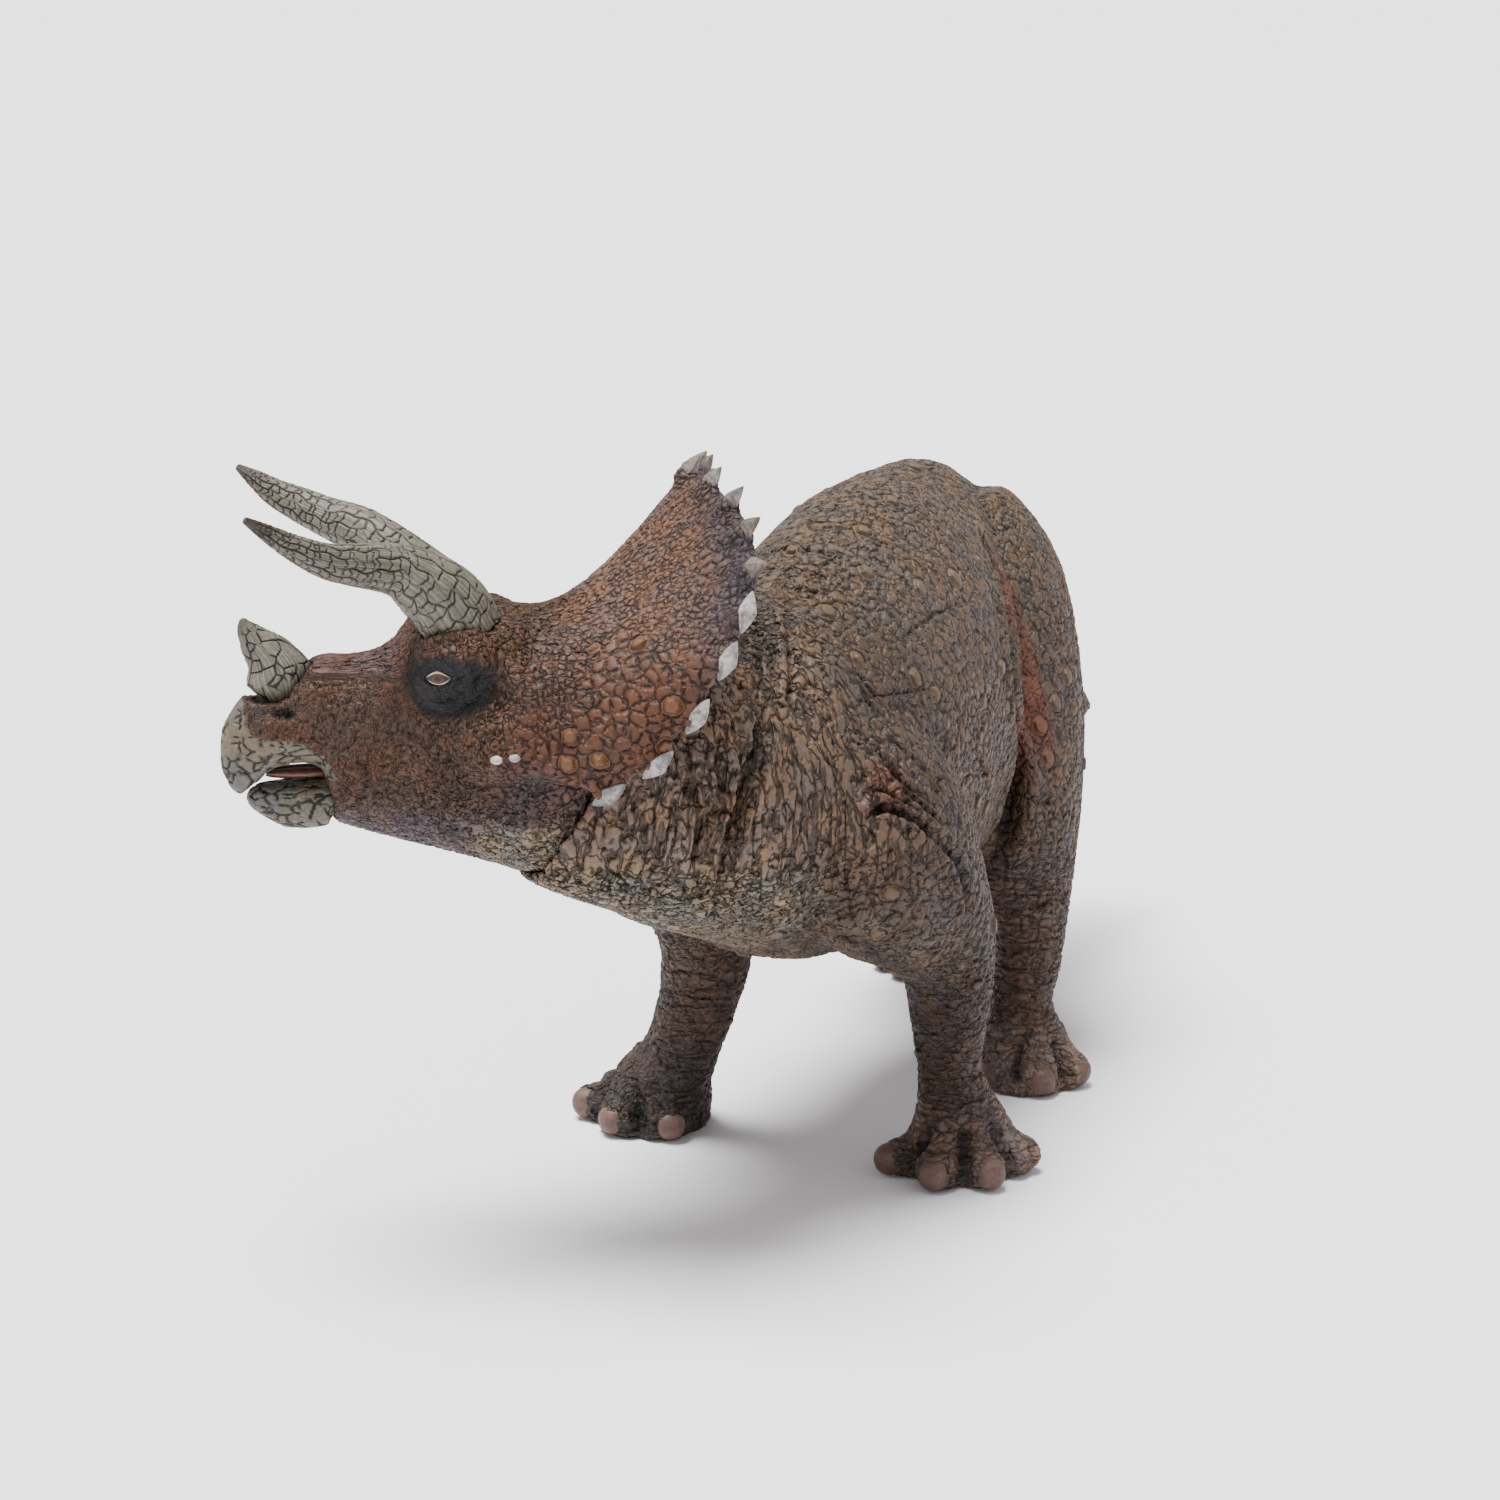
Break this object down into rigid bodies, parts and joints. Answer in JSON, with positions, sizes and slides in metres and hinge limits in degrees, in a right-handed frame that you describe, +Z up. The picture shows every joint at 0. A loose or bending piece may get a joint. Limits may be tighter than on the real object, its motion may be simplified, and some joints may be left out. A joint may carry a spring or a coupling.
{
  "type": "toy dinosaur figure",
  "caption": "Painted soft PVC figure of a horned, frilled plant-eating dinosaur on all fours, walking with its head turned to its right.",
  "frame": {"origin": "middle of the bounding box, on the floor under the soles", "axes": "+Z up; the body walks towards -Y and its own left side is +X; the head is turned 55 degrees to its right"},
  "size_m": [0.0914, 0.2214, 0.1058],
  "materials": {
    "body_paint": "matt olive brown paint with a grey wash over scales and folds",
    "head_paint": "matt red brown paint with ochre scales, a purple grey frill rim and pale studs",
    "horn_paint": "matt sage grey paint with dark cracks",
    "tongue_paint": "satin pink brown paint"
  },
  "bodies": {
    "root": {"torso_shell_left": "body_paint", "torso_shell_right": "body_paint", "head": "head_paint", "lower_jaw": "horn_paint", "tongue": "tongue_paint", "brow_horn_left": "horn_paint", "brow_horn_right": "horn_paint", "nose_horn": "horn_paint", "front_leg_left": "body_paint", "front_leg_right": "body_paint", "hind_leg_left": "body_paint", "hind_leg_right": "body_paint", "tail": "body_paint"}
  },
  "joints": []
}
